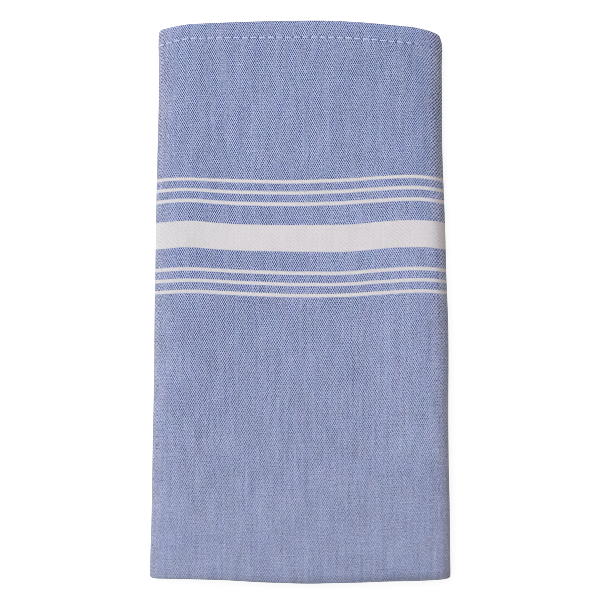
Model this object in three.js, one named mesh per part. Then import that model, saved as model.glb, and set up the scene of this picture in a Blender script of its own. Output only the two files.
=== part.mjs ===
// A folded table napkin in millimetres: one hemmed square of cotton twill, folded in half
// crosswise and then in half lengthwise twice, so that eight layers lie on each other, a
// little apart. +X runs to the right across the front, +Y runs from the folded end to the
// hems, +Z points up out of the front face, and the underside lies flat at Z = 0.

import * as THREE from 'three';

// The cloth, and the air that a hand-folded stack keeps between its layers
const FLAT_SIDE = 508;
const CLOTH_THICKNESS = 1.0;
const AIR_IN_FOLD = 0.3;
const AIR_BETWEEN_PANELS = 0.35;

// The folded stack before its unevenness, and the hem band along its open end
const STACK_WIDTH = 132.6;
const STACK_LENGTH = 255.9;
const HEM_WIDTH = 7.7;

// The folds miss the middle of the cloth a little: the hems behind lie lower than those in
// front, and each of the two side hems lies off their common line
const HEMS_BEHIND_LOWER = 1.6;
const SIDE_HEMS_APART = 2.0;

// The fold on the left overhangs the side hems, and droops there
const DROOP = 3.4;
const DROOP_REACH = 16;

// The wrap on the right is softer than a neat bend, and draws the cloth in over this reach.
// The slack is a bump over that reach, and the last number brings its top to a height of 1.
const WRAP_REACH = 14;
const BUMP_SCALE = 27 / 4;

// The folded end of the face rolls down over this reach
const ROLL_REACH = 5;

// Steps of the solid's skin: along a panel, round a sharp bend, the wrap and the crosswise fold
const STEP_ALONG_PANEL = 10;
const SHARP_BEND_STEPS = 7;
const WRAP_STEPS = 10;
const CROSS_FOLD_STEPS = 6;

// Rows up the stack, as shares of the way from the folded end to the hems
const ROW_SHARES = [0, 0.006, 0.02, 0.05, 0.14, 0.26, 0.4, 0.54, 0.66, 0.78, 0.88, 0.94, 0.97, 1];

// Sizes that follow from the ones above
const PANEL_THICKNESS = 2 * CLOTH_THICKNESS + AIR_IN_FOLD;
const PANEL_PITCH = PANEL_THICKNESS + AIR_BETWEEN_PANELS;
const THIRD_PANEL_UNDERSIDE = 2 * PANEL_PITCH;
const STACK_HEIGHT = 4 * PANEL_PITCH - AIR_BETWEEN_PANELS;
const SHARP_BEND_RADIUS = PANEL_PITCH / 2;
const WRAP_RADIUS = 3 * PANEL_PITCH / 2;
const HALF_WIDTH = STACK_WIDTH / 2;
const HALF_LENGTH = STACK_LENGTH / 2;
const RIGHT_BEND_X = HALF_WIDTH - WRAP_RADIUS - PANEL_THICKNESS / 2;
const LEFT_BEND_X = SHARP_BEND_RADIUS + PANEL_THICKNESS / 2 - HALF_WIDTH;
const FULL_PANEL = RIGHT_BEND_X - LEFT_BEND_X;
const BENDS_LENGTH = Math.PI * (WRAP_RADIUS + 2 * SHARP_BEND_RADIUS);
const HEMMED_PANEL = (FLAT_SIDE - BENDS_LENGTH - 2 * FULL_PANEL) / 2;
const BACK_EDGE_X = RIGHT_BEND_X - HEMMED_PANEL + SIDE_HEMS_APART;
const INNER_EDGE_X = RIGHT_BEND_X - HEMMED_PANEL - SIDE_HEMS_APART;

// The way of the doubled cloth through the stack, seen from the hems. A panel lies on its
// level, and a bend turns about its x from one level to the next. Lift and drop say how far
// inside the front panel's ends the folded end and the hems lie where the run starts.
const RUNS = [
  { name: 'back panel', level: 0, startX: BACK_EDGE_X, endX: RIGHT_BEND_X, lift: 1.8, drop: 2.6 },
  { name: 'wrap on the right', bendX: RIGHT_BEND_X, from: 0, to: 3, turn: 1, lift: 0.5, drop: 0.6 },
  { name: 'front panel', level: 3, startX: RIGHT_BEND_X, endX: LEFT_BEND_X, lift: 0, drop: 0 },
  { name: 'fold on the left', bendX: LEFT_BEND_X, from: 3, to: 2, turn: 1, lift: 0, drop: 0 },
  { name: 'third panel', level: 2, startX: LEFT_BEND_X, endX: RIGHT_BEND_X, lift: 0.5, drop: 0.6 },
  { name: 'bend inside', bendX: RIGHT_BEND_X, from: 2, to: 1, turn: -1, lift: 1.4, drop: 1.6 },
  { name: 'inner panel', level: 1, startX: RIGHT_BEND_X, endX: INNER_EDGE_X, lift: 1.6, drop: 1.9 },
];
const INNER_SIDE_HEM = { lift: 2.4, drop: 3.2 };

// Side edges of the stack, by the height above its middle: it widens towards the folded end.
// Softness says how many millimetres of slack the wrap has there.
const SIDES = [
  { up: -128, left: -68.8, right: 68.9, softness: 0.6 },
  { up: -95, left: -68.1, right: 68.6, softness: 0.4 },
  { up: -72, left: -67.7, right: 68.2, softness: 0.6 },
  { up: -38, left: -67.1, right: 68.3, softness: 1.3 },
  { up: -15, left: -66.7, right: 68.1, softness: 1.8 },
  { up: 19, left: -66.2, right: 66.9, softness: 1.8 },
  { up: 77, left: -65.2, right: 65.2, softness: 1.8 },
  { up: 112, left: -64.7, right: 65.1, softness: 1.8 },
  { up: 122, left: -64.7, right: 65.1, softness: 1.5 },
  { up: 126.3, left: -64.6, right: 64.5, softness: 1.2 },
  { up: 128, left: -64.5, right: 64.1, softness: 1.2 },
];

// Places across the stack, as shares of its half width
const ACROSS = { leftEdge: -1, left: -0.75, middle: 0.12, right: 0.78, rightEdge: 1 };

// How far the weft lines run above their straight places, by the distance from the hem
const WEFT_RISE = [
  { fromHem: 0, leftEdge: -3.9, left: -1.6, middle: -0.1, right: -3.0, rightEdge: -5.8 },
  { fromHem: HEM_WIDTH, leftEdge: -3.5, left: -0.6, middle: 0, right: -2.8, rightEdge: -5.1 },
  { fromHem: 99, leftEdge: 1.0, left: 1.8, middle: 0, right: 2.2, rightEdge: 1.0 },
  { fromHem: 256, leftEdge: 1.9, left: 1.8, middle: -0.2, right: 0.95, rightEdge: 1.45 },
];

// How loosely the layers lie: 1 is the spacing above, and the doubled hems swell the open end
const LOFT = [
  { fromHem: 0, leftEdge: 1.16, left: 1.2, middle: 1.22, right: 1.24, rightEdge: 1.06 },
  { fromHem: HEM_WIDTH, leftEdge: 1.14, left: 1.18, middle: 1.2, right: 1.21, rightEdge: 1.02 },
  { fromHem: 26, leftEdge: 1.03, left: 1.05, middle: 1.07, right: 1.06, rightEdge: 0.92 },
  { fromHem: 99, leftEdge: 1.04, left: 1.02, middle: 1.03, right: 1.06, rightEdge: 0.93 },
  { fromHem: 180, leftEdge: 1.02, left: 1.05, middle: 1.02, right: 1.03, rightEdge: 0.98 },
  { fromHem: 246, leftEdge: 1.05, left: 1.08, middle: 1.11, right: 1.09, rightEdge: 1.0 },
  { fromHem: 256, leftEdge: 1.01, left: 1.05, middle: 1.09, right: 1.07, rightEdge: 0.97 },
];

// How far the folded end of the face rolls down
const ROLL = { leftEdge: 0.7, left: 0.9, middle: 2.2, right: 3.0, rightEdge: 3.2 };

const COTTON_BLUE = 0x8d97bb;

function mix(start, end, share) {
  return start + (end - start) * share;
}

function clamp(share) {
  return Math.min(Math.max(share, 0), 1);
}

// A smooth line through points, which never swings past them between two of them
function smoothThrough(places, values, at) {
  const last = places.length - 1;
  const held = Math.min(Math.max(at, places[0]), places[last]);
  let i = 0;
  while (i < last - 1 && held > places[i + 1]) {
    i += 1;
  }
  const secant = (k) => (values[k + 1] - values[k]) / (places[k + 1] - places[k]);
  const slope = (k) => {
    if (k === 0 || k === last) {
      return secant(Math.min(k, last - 1));
    }
    const before = secant(k - 1);
    const after = secant(k);
    return before * after > 0 ? 2 * before * after / (before + after) : 0;
  };
  const span = places[i + 1] - places[i];
  const share = (held - places[i]) / span;
  const eased = share * share * (3 - 2 * share);
  const leave = share * (1 - share) ** 2 * span * slope(i);
  const arrive = share ** 2 * (share - 1) * span * slope(i + 1);
  return mix(values[i], values[i + 1], eased) + leave + arrive;
}

// A value from a row of them that stand at the places in ACROSS
function valueAcross(row, across) {
  const names = Object.keys(ACROSS);
  return smoothThrough(names.map((name) => ACROSS[name]), names.map((name) => row[name]), across);
}

// A value from a table whose rows go by the distance from the hem and whose columns go across
function tableValue(rows, across, fromHem) {
  const distances = rows.map((row) => row.fromHem);
  const atHem = {};
  for (const name of Object.keys(ACROSS)) {
    atHem[name] = smoothThrough(distances, rows.map((row) => row[name]), fromHem);
  }
  return valueAcross(atHem, across);
}

// Moves a point of the neat stack to its place in the uneven one. Each height is kept in its
// order and the underside at zero, so no two layers meet.
function settle(neatX, y, z) {
  const fromHem = HALF_LENGTH - y;
  const heights = SIDES.map((row) => row.up);
  const [left, right, softness] = ['left', 'right', 'softness'].map((name) => (
    smoothThrough(heights, SIDES.map((row) => row[name]), y)
  ));
  const inward = clamp((HALF_WIDTH - neatX) / WRAP_REACH);
  const x = neatX - softness * BUMP_SCALE * inward * (1 - inward) ** 2;
  const across = x / HALF_WIDTH;
  const overhang = Math.max(DROOP_REACH - HALF_WIDTH - x, 0) / DROOP_REACH;
  const hanging = Math.min(z / THIRD_PANEL_UNDERSIDE, 1);
  const droop = DROOP * overhang ** 2 * hanging;
  const rolled = clamp(1 - (y + HALF_LENGTH) / ROLL_REACH);
  const roll = valueAcross(ROLL, across) * rolled ** 2 * z / STACK_HEIGHT;
  return new THREE.Vector3(
    mix(left, right, (across + 1) / 2),
    y + tableValue(WEFT_RISE, across, fromHem),
    z * tableValue(LOFT, across, fromHem) - droop - roll,
  );
}

function levelHeight(level) {
  return PANEL_THICKNESS / 2 + level * PANEL_PITCH;
}

// Where the doubled cloth is, and which way its outer side faces, at a share of a run
function placeOnRun(run, share) {
  if (run.turn === undefined) {
    const facing = run.endX > run.startX ? -1 : 1;
    return { x: mix(run.startX, run.endX, share), z: levelHeight(run.level), faceX: 0, faceZ: facing };
  }
  const radius = Math.abs(run.to - run.from) * PANEL_PITCH / 2;
  const goesUp = run.to > run.from;
  const startAngle = goesUp ? -Math.PI / 2 : Math.PI / 2;
  const angle = startAngle + run.turn * Math.PI * share;
  return {
    x: run.bendX + radius * Math.cos(angle),
    z: levelHeight((run.from + run.to) / 2) + radius * Math.sin(angle),
    faceX: run.turn * Math.cos(angle),
    faceZ: run.turn * Math.sin(angle),
  };
}

function stepsOnRun(run) {
  if (run.turn === undefined) {
    return Math.round(Math.abs(run.endX - run.startX) / STEP_ALONG_PANEL);
  }
  return Math.abs(run.to - run.from) > 1 ? WRAP_STEPS : SHARP_BEND_STEPS;
}

// All stations along the doubled cloth, from the back panel's side hem to the inner panel's
function foldStations() {
  const stations = [];
  RUNS.forEach((run, index) => {
    const next = RUNS[index + 1] ?? INNER_SIDE_HEM;
    const steps = stepsOnRun(run);
    for (let k = index === 0 ? 0 : 1; k <= steps; k += 1) {
      const share = k / steps;
      stations.push({
        ...placeOnRun(run, share),
        lift: mix(run.lift, next.lift, share),
        drop: mix(run.drop, next.drop, share),
      });
    }
  });
  return stations;
}

// The section of the doubled cloth at a station: pairs of a point on the side that faces out
// and one on the side that faces in, from the front hem round the crosswise fold and back
function sectionPairs(station) {
  const outer = PANEL_THICKNESS / 2;
  const inner = AIR_IN_FOLD / 2;
  const foldY = station.lift + outer - HALF_LENGTH;
  const hemY = HALF_LENGTH - station.drop;
  const upwards = ROW_SHARES.map((share) => ({
    out: [mix(foldY, hemY - HEMS_BEHIND_LOWER, share), -outer],
    in: [mix(foldY, hemY - HEMS_BEHIND_LOWER, share), -inner],
  }));
  const downwards = ROW_SHARES.toReversed().map((share) => ({
    out: [mix(foldY, hemY, share), outer],
    in: [mix(foldY, hemY, share), inner],
  }));
  const round = [];
  for (let k = 1; k < CROSS_FOLD_STEPS; k += 1) {
    const angle = Math.PI * k / CROSS_FOLD_STEPS;
    round.push({
      out: [foldY - outer * Math.sin(angle), outer * Math.cos(angle)],
      in: [foldY - inner * Math.sin(angle), inner * Math.cos(angle)],
    });
  }
  return [...downwards, ...round, ...upwards];
}

// One closed skin: the section swept along the stations, and closed at both side hems
function foldedCloth() {
  const stations = foldStations();
  const positions = [];
  const faces = [];
  let pairCount = 0;
  for (const station of stations) {
    const pairs = sectionPairs(station);
    pairCount = pairs.length;
    const ring = [...pairs.map((pair) => pair.out), ...pairs.map((pair) => pair.in).toReversed()];
    for (const [y, offset] of ring) {
      const x = station.x + offset * station.faceX;
      const z = station.z + offset * station.faceZ;
      positions.push(...settle(x, y, z).toArray());
    }
  }
  const ringSize = 2 * pairCount;
  const quad = (a, b, c, d) => faces.push(a, b, c, a, c, d);
  for (let s = 0; s < stations.length - 1; s += 1) {
    for (let k = 0; k < ringSize; k += 1) {
      const next = (k + 1) % ringSize;
      const here = s * ringSize;
      const there = here + ringSize;
      quad(here + k, there + k, there + next, here + next);
    }
  }
  const lastRing = (stations.length - 1) * ringSize;
  for (let k = 0; k < pairCount - 1; k += 1) {
    const facing = ringSize - 1 - k;
    quad(k, k + 1, facing - 1, facing);
    quad(lastRing + k, lastRing + facing, lastRing + facing - 1, lastRing + k + 1);
  }
  const geometry = new THREE.BufferGeometry();
  geometry.setAttribute('position', new THREE.Float32BufferAttribute(positions, 3));
  geometry.setIndex(faces);
  geometry.computeVertexNormals();
  return geometry;
}

function cottonTwill() {
  return new THREE.MeshStandardMaterial({ color: COTTON_BLUE, roughness: 0.92, metalness: 0 });
}

const part = new THREE.Group();
const napkin = new THREE.Mesh(foldedCloth(), cottonTwill());
napkin.name = 'napkin';
part.add(napkin);

export default part;
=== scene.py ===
# %% [markdown]
# # A folded table napkin
# The real thing is one square of cotton with a hem on all four edges. It is folded in half crosswise, and
# then in half lengthwise twice, so eight layers lie on each other. This lesson builds that one sheet from
# its folds, sews the hems with Geometry Nodes, and weaves the colours in a procedural material. It starts
# with the fixed solid, which gives the size that the cloth has to keep.

# %% Load the fixed solid
import math

import bpy
import numpy as np
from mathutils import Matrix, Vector


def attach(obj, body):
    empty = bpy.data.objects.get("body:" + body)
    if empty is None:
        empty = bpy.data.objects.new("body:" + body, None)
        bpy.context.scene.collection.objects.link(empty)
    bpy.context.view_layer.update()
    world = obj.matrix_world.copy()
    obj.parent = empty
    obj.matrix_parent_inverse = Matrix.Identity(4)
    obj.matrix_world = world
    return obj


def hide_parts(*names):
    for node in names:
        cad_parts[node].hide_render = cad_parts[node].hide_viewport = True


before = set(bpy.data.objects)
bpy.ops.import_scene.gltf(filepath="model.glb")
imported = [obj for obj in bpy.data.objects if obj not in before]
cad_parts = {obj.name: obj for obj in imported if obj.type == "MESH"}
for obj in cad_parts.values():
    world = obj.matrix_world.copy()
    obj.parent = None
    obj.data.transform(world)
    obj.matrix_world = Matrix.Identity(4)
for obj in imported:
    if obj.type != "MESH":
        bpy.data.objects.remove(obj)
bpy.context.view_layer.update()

# %% [markdown]
# ## The camera
# The napkin lies face up, and the camera looks straight down on it, with the hems at the top of the
# picture. A long lens could stand far away. This one stands about 0.77 m up, as a hand-held camera would,
# so that the layers below draw in a little behind the front one. The distance follows from how many
# millimetres one pixel shows.

# %% Set up the camera
MM = 0.001
PICTURE_PIXELS = 600
MM_PER_PIXEL = 0.4536
SENSOR_MM = 36
LENS_MM = 100
FACE_HEIGHT_MM = 11.5
PICTURE_MIDDLE_MM = (0.0, 1.15)

picture_width = PICTURE_PIXELS * MM_PER_PIXEL
camera_height = FACE_HEIGHT_MM + picture_width * LENS_MM / SENSOR_MM


def put_in_scene(name, data):
    thing = bpy.data.objects.new(name, data)
    bpy.context.scene.collection.objects.link(thing)
    return thing


camera_data = bpy.data.cameras.new("camera")
camera_data.lens = LENS_MM
camera_data.sensor_width = SENSOR_MM
camera_data.clip_start = 0.01
camera_data.clip_end = 20
camera = put_in_scene("camera", camera_data)
camera.location = (PICTURE_MIDDLE_MM[0] * MM, PICTURE_MIDDLE_MM[1] * MM, camera_height * MM)
bpy.context.scene.camera = camera

# The picture is sharp enough to show the threads: each pixel gathers little from its neighbours, and the
# weave is not smoothed away as if it were noise.
bpy.context.scene.cycles.filter_width = 0.8
bpy.context.scene.cycles.denoising_prefilter = "NONE"
print("The camera stands", round(camera_height), "mm above the floor")

# %% [markdown]
# ## Sizes of the cloth and of the stack
# A folded stack has two kinds of size. Some belong to the flat cloth, such as its hem. The others say how
# the doubled cloth lies: the first fold doubles it, so from then on it is folded as a pair of layers, and
# every bend is counted in pairs. The spacing is that of the solid. The cloth itself is a little thinner, so
# that air shows between the layers at the open end.

# %% Name the sizes, in millimetres
SOLID_THICKNESS = 1.0
AIR_IN_FOLD = 0.3
AIR_BETWEEN_PANELS = 0.35
STACK_WIDTH = 132.6
STACK_LENGTH = 255.9
FLAT_WIDTH = 508

CLOTH_THICKNESS = 0.8
HEM_THICKNESS = 1.1
HEM_WIDTH = 7.7
HEM_FOLD = 8.9
HEM_STEP = 0.3
HEM_EASE = 9.0
EDGE_ROUNDING = 0.5

# The folds miss the middle of the cloth a little, so the hems lie off each other
HEMS_BEHIND_LOWER = 1.6
SIDE_HEMS_APART = 2.0

# How far the left fold droops, and how far in from the edge it droops, the wrap gives way and the end rolls
DROOP = 3.4
DROOP_REACH = 16
WRAP_REACH = 14
ROLL_REACH = 5

PANEL_THICKNESS = 2 * SOLID_THICKNESS + AIR_IN_FOLD
PANEL_PITCH = PANEL_THICKNESS + AIR_BETWEEN_PANELS
THIRD_PANEL_UNDERSIDE = 2 * PANEL_PITCH
STACK_HEIGHT = 4 * PANEL_PITCH - AIR_BETWEEN_PANELS
SHARP_BEND_RADIUS = PANEL_PITCH / 2
WRAP_RADIUS = 3 * PANEL_PITCH / 2
HALF_WIDTH = STACK_WIDTH / 2
HALF_LENGTH = STACK_LENGTH / 2
RIGHT_BEND_X = HALF_WIDTH - WRAP_RADIUS - PANEL_THICKNESS / 2
LEFT_BEND_X = SHARP_BEND_RADIUS + PANEL_THICKNESS / 2 - HALF_WIDTH
FULL_PANEL = RIGHT_BEND_X - LEFT_BEND_X
BENDS_LENGTH = math.pi * (WRAP_RADIUS + 2 * SHARP_BEND_RADIUS)
HEMMED_PANEL = (FLAT_WIDTH - BENDS_LENGTH - 2 * FULL_PANEL) / 2
BACK_EDGE_X = RIGHT_BEND_X - HEMMED_PANEL + SIDE_HEMS_APART
INNER_EDGE_X = RIGHT_BEND_X - HEMMED_PANEL - SIDE_HEMS_APART
LAYER_MIDDLE = (SOLID_THICKNESS + AIR_IN_FOLD) / 2
print("The stack is", round(STACK_HEIGHT, 2), "mm high where the layers lie closest")

# %% [markdown]
# ## The unevenness of a cloth folded by hand
# No fold is straight on the real napkin. It is wider at the folded end, its open end is domed, and the
# woven stripes dip in the middle. Random noise could make it uneven, but not in these places. So short
# tables say how far the cloth lies from its neat place, and a smooth line runs through each column. Slack
# is how far the soft wrap on the right draws the cloth in. The tables are those of the solid, and only the
# creases are added here.

# %% Write down the unevenness, in millimetres
SIDES = {
    "up": (-128, -95, -72, -38, -15, 19, 77, 112, 122, 126.3, 128),
    "left": (-68.8, -68.1, -67.7, -67.1, -66.7, -66.2, -65.2, -64.7, -64.7, -64.6, -64.5),
    "right": (68.9, 68.6, 68.2, 68.3, 68.1, 66.9, 65.2, 65.1, 65.1, 64.5, 64.1),
    "slack": (0.6, 0.4, 0.6, 1.3, 1.8, 1.8, 1.8, 1.8, 1.5, 1.2, 1.2),
}

ACROSS = (-1, -0.75, 0.12, 0.78, 1)

WEFT_RISE = {
    "from_hem": (0, HEM_WIDTH, 99, 256),
    "left_edge": (-3.9, -3.5, 1.0, 1.9),
    "left": (-1.6, -0.6, 1.8, 1.8),
    "middle": (-0.1, 0, 0, -0.2),
    "right": (-3.0, -2.8, 2.2, 0.95),
    "right_edge": (-5.8, -5.1, 1.0, 1.45),
}

LOFT = {
    "from_hem": (0, HEM_WIDTH, 26, 99, 180, 246, 256),
    "left_edge": (1.16, 1.14, 1.03, 1.04, 1.02, 1.05, 1.01),
    "left": (1.2, 1.18, 1.05, 1.02, 1.05, 1.08, 1.05),
    "middle": (1.22, 1.2, 1.07, 1.03, 1.02, 1.11, 1.09),
    "right": (1.24, 1.21, 1.06, 1.06, 1.03, 1.09, 1.07),
    "right_edge": (1.06, 1.02, 0.92, 0.93, 0.98, 1.0, 0.97),
}

# How far the folded end rolls down, at the places in ACROSS
ROLL = (0.7, 0.9, 2.2, 3.0, 3.2)

# Soft ridges and troughs in the front face: place, half width, half length and height
CREASES = (
    (-47, 96, 5, 24, 0.30),
    (-33, 86, 4, 20, -0.25),
    (-11, 97, 4, 16, -0.30),
    (14, 92, 5, 26, 0.25),
    (41, 96, 6, 24, -0.25),
    (-20, 40, 7, 22, 0.20),
    (3, -12, 5, 20, -0.30),
    (-38, -30, 6, 34, -0.25),
    (25, -30, 6, 30, 0.22),
    (43, -46, 5, 26, 0.25),
    (-11, -88, 6, 22, 0.30),
    (-30, -84, 5, 24, -0.20),
    (32, -82, 6, 26, -0.25),
    (52, -94, 5, 22, 0.20),
)

# %% [markdown]
# ## From the neat stack to the uneven one
# Small helpers read the tables. Then one function moves any point of the neat stack to its place: the wrap
# gives way, the left fold droops, the folded end rolls down, and the creases rise or sink. Every height is
# moved by its own share, and the underside stays at zero. So layers can't cross, and the napkin rests flat.

# %% Read the tables and settle the points
# Brings the top of the bump share * (1 - share) ** 2 to a height of 1
BUMP_SCALE = 27 / 4


def mix(start, end, share):
    return start + (end - start) * share


def smooth_through(places, values, at):
    """A smooth line through points that never swings past them. A value may be an array, one for each at."""
    places = np.asarray(places, float)
    values = np.asarray(values, float)
    if values.ndim == 1:
        values = np.repeat(values[:, None], len(at), axis=1)
    held = np.clip(at, places[0], places[-1])
    i = np.clip(np.searchsorted(places, held, side="left") - 1, 0, len(places) - 2)
    secants = np.diff(values, axis=0) / np.diff(places)[:, None]
    before, after = secants[:-1], secants[1:]
    turns = before * after <= 0
    inner = np.where(turns, 0, 2 * before * after / np.where(turns, 1, before + after))
    slopes = np.concatenate([secants[:1], inner, secants[-1:]])
    n = np.arange(len(held))
    span = places[i + 1] - places[i]
    share = (held - places[i]) / span
    eased = share * share * (3 - 2 * share)
    leave = share * (1 - share) ** 2 * span * slopes[i, n]
    arrive = share**2 * (share - 1) * span * slopes[i + 1, n]
    return mix(values[i, n], values[i + 1, n], eased) + leave + arrive


def table_value(table, across, from_hem):
    """The value of a table at a place across the stack and at a distance from the hem."""
    columns = [name for name in table if name != "from_hem"]
    along = [smooth_through(table["from_hem"], table[name], from_hem) for name in columns]
    return smooth_through(ACROSS, along, across)


def soft_bumps(bumps, x, y):
    """The height of soft bumps at a place. Each has its place, half width, half length and height."""
    height = np.zeros_like(x)
    for middle_x, middle_y, half_width, half_length, rise in bumps:
        away = ((x - middle_x) / half_width) ** 2 + ((y - middle_y) / half_length) ** 2
        height += rise * np.exp(-away)
    return height


def settle(x, y, z):
    """Moves points of the neat stack to their places in the uneven one."""
    from_hem = HALF_LENGTH - y
    left, right, slack = (smooth_through(SIDES["up"], SIDES[name], y) for name in ("left", "right", "slack"))
    inward = np.clip((HALF_WIDTH - x) / WRAP_REACH, 0, 1)
    x = x - slack * BUMP_SCALE * inward * (1 - inward) ** 2
    across = x / HALF_WIDTH
    overhang = np.maximum(DROOP_REACH - HALF_WIDTH - x, 0) / DROOP_REACH
    hanging = np.minimum(z / THIRD_PANEL_UNDERSIDE, 1)
    settled_x = mix(left, right, (across + 1) / 2)
    settled_y = y + table_value(WEFT_RISE, across, from_hem)
    rolled = np.clip(1 - (y + HALF_LENGTH) / ROLL_REACH, 0, 1)
    settled_z = z * table_value(LOFT, across, from_hem) - DROOP * overhang**2 * hanging
    lifted = soft_bumps(CREASES, settled_x, settled_y) - smooth_through(ACROSS, ROLL, across) * rolled**2
    settled_z += lifted * z / STACK_HEIGHT
    return np.stack([settled_x, settled_y, settled_z], axis=-1)


print("The left edge lies", round(float(settle(*np.array([[-HALF_WIDTH], [0.0], [5.0]]))[0, 0]), 1), "mm out")

# %% [markdown]
# ## The way of the doubled cloth
# Seen from the hems, the doubled cloth runs along the back, wraps round the right side, runs back across
# the front, turns in on the left, and ends inside. Panels and half turns are listed in that order, with how
# closely their stations stand: close on the front and round the bends, wide on the hidden panels. Lift and
# drop say how far a panel's ends lie inside those of the front panel.

# %% List the runs and place stations along them
RUNS = (
    dict(name="back", level=0, start=BACK_EDGE_X, end=RIGHT_BEND_X, lift=1.8, drop=2.6, step=3.0),
    dict(name="wrap", levels=(0, 3), bend=RIGHT_BEND_X, turn=1, lift=0.5, drop=0.6, step=0.9),
    dict(name="front", level=3, start=RIGHT_BEND_X, end=LEFT_BEND_X, lift=0, drop=0, step=1.9),
    dict(name="left fold", levels=(3, 2), bend=LEFT_BEND_X, turn=1, lift=0, drop=0, step=0.5),
    dict(name="third", level=2, start=LEFT_BEND_X, end=RIGHT_BEND_X, lift=0.5, drop=0.6, step=6.0),
    dict(name="inside", levels=(2, 1), bend=RIGHT_BEND_X, turn=-1, lift=1.4, drop=1.6, step=0.5),
    dict(name="inner", level=1, start=RIGHT_BEND_X, end=INNER_EDGE_X, lift=1.6, drop=1.9, step=6.0),
)
INNER_SIDE_HEM = dict(lift=2.4, drop=3.2)

# Distances from the cloth's edge that get a station: its rounding, the sewing, and the step behind the hem
EDGE_STEPS = (0.02, 0.14, 0.32, EDGE_ROUNDING, HEM_WIDTH, HEM_FOLD - HEM_STEP, HEM_FOLD + HEM_STEP)

# The share of the wrap over which the cloth leaves the floor
WRAP_ON_FLOOR = 1 / 4


def level_height(level):
    return PANEL_THICKNESS / 2 + level * PANEL_PITCH


def bend_radius(run):
    first, last = run["levels"]
    return abs(last - first) * PANEL_PITCH / 2


def run_length(run):
    if "turn" in run:
        return math.pi * bend_radius(run)
    return abs(run["end"] - run["start"])


def place_on_run(run, share):
    """The middle of the doubled cloth, and which way its outer side faces."""
    if "turn" not in run:
        facing = -1 if run["end"] > run["start"] else 1
        return [mix(run["start"], run["end"], share), level_height(run["level"]), 0, facing]
    first, last = run["levels"]
    radius = bend_radius(run)
    start_angle = -math.pi / 2 if last > first else math.pi / 2
    angle = start_angle + run["turn"] * math.pi * share
    middle = level_height((first + last) / 2)
    out_x, out_z = math.cos(angle), math.sin(angle)
    return [run["bend"] + radius * out_x, middle + radius * out_z, run["turn"] * out_x, run["turn"] * out_z]


def spaced(length, step, near_start=(), near_end=()):
    """Even distances from 0 to length, with the given ones near the ends in place of those close to them."""
    fixed = sorted([*near_start, *(length - d for d in near_end)])
    even = np.linspace(0, length, max(round(length / step), 1) + 1)
    kept = [d for d in even if all(abs(d - f) > step / 3 for f in fixed)]
    return np.array(sorted([*kept, *fixed]))


def stations():
    """Rows of x, z, outward x and z, lift, drop, distance along the path, and rest on the floor."""
    rows = []
    passed = 0
    for run, after in zip(RUNS, [*RUNS[1:], INNER_SIDE_HEM]):
        length = run_length(run)
        first, last = run is RUNS[0], run is RUNS[-1]
        distances = spaced(length, run["step"], EDGE_STEPS if first else (), EDGE_STEPS if last else ())
        for distance in distances:
            share = distance / length
            at_seam = rows and distance == 0
            past_end = (first and distance == 0) or (last and distance == length)
            if at_seam or past_end:
                continue
            uneven = [mix(run[key], after[key], share) for key in ("lift", "drop")]
            on_floor = {"back": 1.0, "wrap": max(1 - share / WRAP_ON_FLOOR, 0)}.get(run["name"], 0.0)
            rows.append([*place_on_run(run, share), *uneven, passed + distance, on_floor])
        passed += length
    return np.array(rows).T


path_x, path_z, out_x, out_z, lift, drop, along, on_floor = stations()
PATH_LENGTH = sum(run_length(run) for run in RUNS)
print(len(along), "stations along", round(PATH_LENGTH, 1), "mm of doubled cloth")

# %% [markdown]
# ## The section of the doubled cloth
# Across the path, the doubled cloth is a narrow U: down the front layer from its hem, round the crosswise
# fold, and up the layer behind. Each row has an angle, 0 on the front layer and half a turn on the one
# behind, and a skin on either side. The hem is the same cloth turned twice, so it is thicker, and its
# turned edge makes a step on the inner skin only.

# %% Lay out the rows of the section
FRONT_ROW_STEP = 2.2
BEHIND_ROW_STEP = 6.0
FOLD_ROWS = 8
ROLL_ROWS = (0.8, 1.7, 2.7, 3.9)

FOLD_CENTRE_Y = PANEL_THICKNESS / 2 - HALF_LENGTH
STRAIGHT_LENGTH = HALF_LENGTH - FOLD_CENTRE_Y
FOLD_LENGTH = math.pi * LAYER_MIDDLE
CLOTH_LENGTH = 2 * STRAIGHT_LENGTH + FOLD_LENGTH

row_starts = EDGE_STEPS[3:]
front_rows = spaced(STRAIGHT_LENGTH, FRONT_ROW_STEP, row_starts, ROLL_ROWS)[1:]
behind_rows = spaced(STRAIGHT_LENGTH, BEHIND_ROW_STEP, row_starts)[:0:-1]
fold_angles = np.linspace(0, math.pi, FOLD_ROWS + 1)[1:-1]

row_angle = np.concatenate([0 * front_rows, fold_angles, 0 * behind_rows + math.pi])
row_from_tip = np.concatenate([front_rows, 0 * fold_angles + STRAIGHT_LENGTH, behind_rows])
row_along = np.concatenate([
    front_rows,
    STRAIGHT_LENGTH + fold_angles / math.pi * FOLD_LENGTH,
    CLOTH_LENGTH - behind_rows,
])
print(len(row_along), "rows from hem to hem,", round(CLOTH_LENGTH, 1), "mm of cloth")

# %% [markdown]
# ## Both skins of the sheet
# The skins lie half a thickness either side of the layer's middle. Over the hems they part, and at the
# cloth's very edges they close in a quarter round. Slow waves let each layer wander in the air that it has,
# except where the cloth lies on the floor.

# %% Work out the two skins
# Slow waves: height, length across and down, and phase
WANDER = ((0.12, 71, 190, 0.6), (0.05, 23, -61, 2.0))


def ease(value):
    held = np.clip(value, 0, 1)
    return held * held * (3 - 2 * held)


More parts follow.
